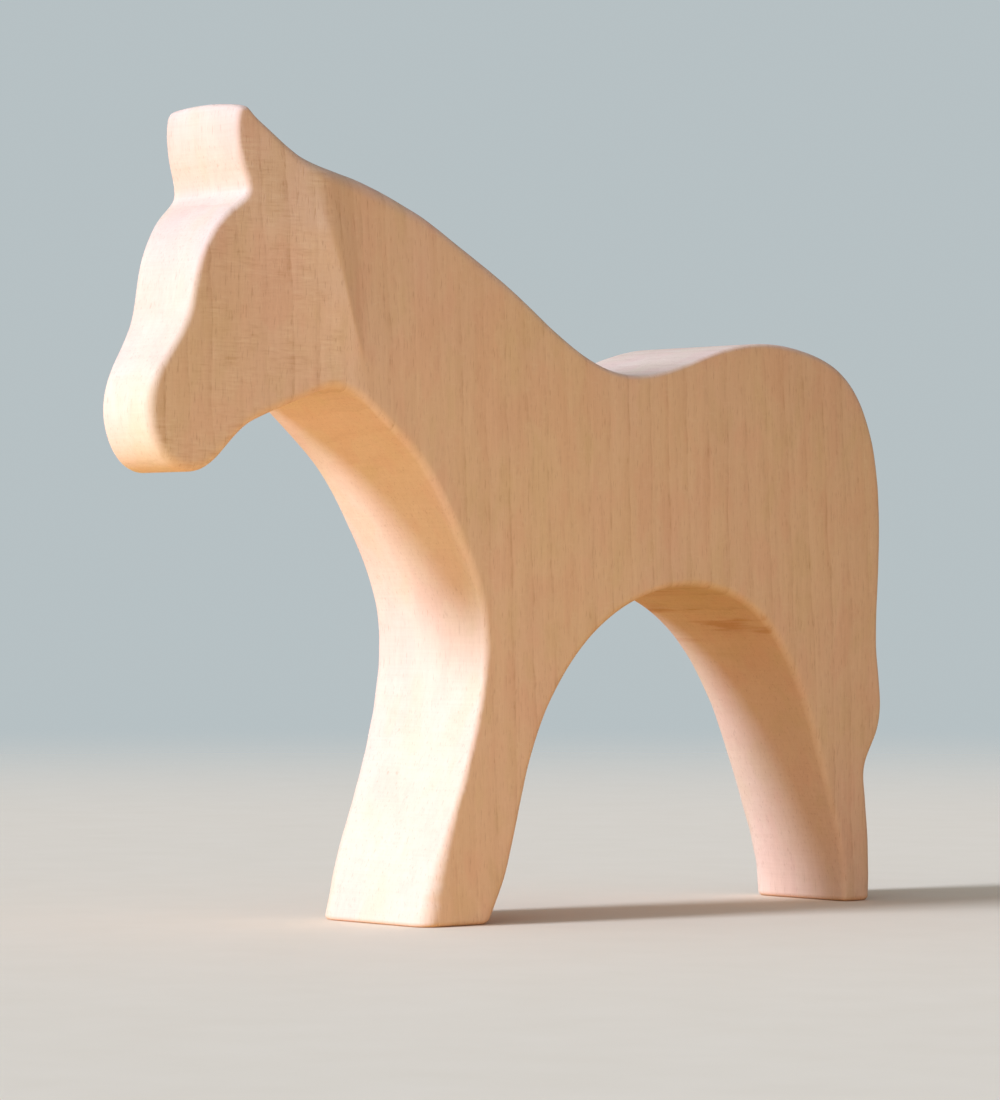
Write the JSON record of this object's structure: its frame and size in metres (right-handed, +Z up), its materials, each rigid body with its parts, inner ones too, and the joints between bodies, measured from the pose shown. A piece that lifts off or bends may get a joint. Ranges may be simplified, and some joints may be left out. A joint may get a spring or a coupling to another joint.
{
  "type": "wooden toy horse",
  "caption": "Free-standing toy horse sawn from one pale hardwood board: arched belly, front and hind leg blocks, tapered cheeks, pointed ear and stepped tail, all edges hand-rounded.",
  "frame": {"origin": "on the floor, on the board's middle plane, halfway between the nose and the tail", "axes": "+Z up, -Y the way the horse looks, +X out of its left flank"},
  "size_m": [0.03, 0.161, 0.136],
  "materials": {
    "maple": "bare pale hardwood, taken as maple from its colour and faint grain, which is a guess; smooth and left unpainted, satin-matt, with fine brown growth-ring lines running up and down"
  },
  "bodies": {
    "root": {"horse_body": "maple"}
  },
  "joints": []
}
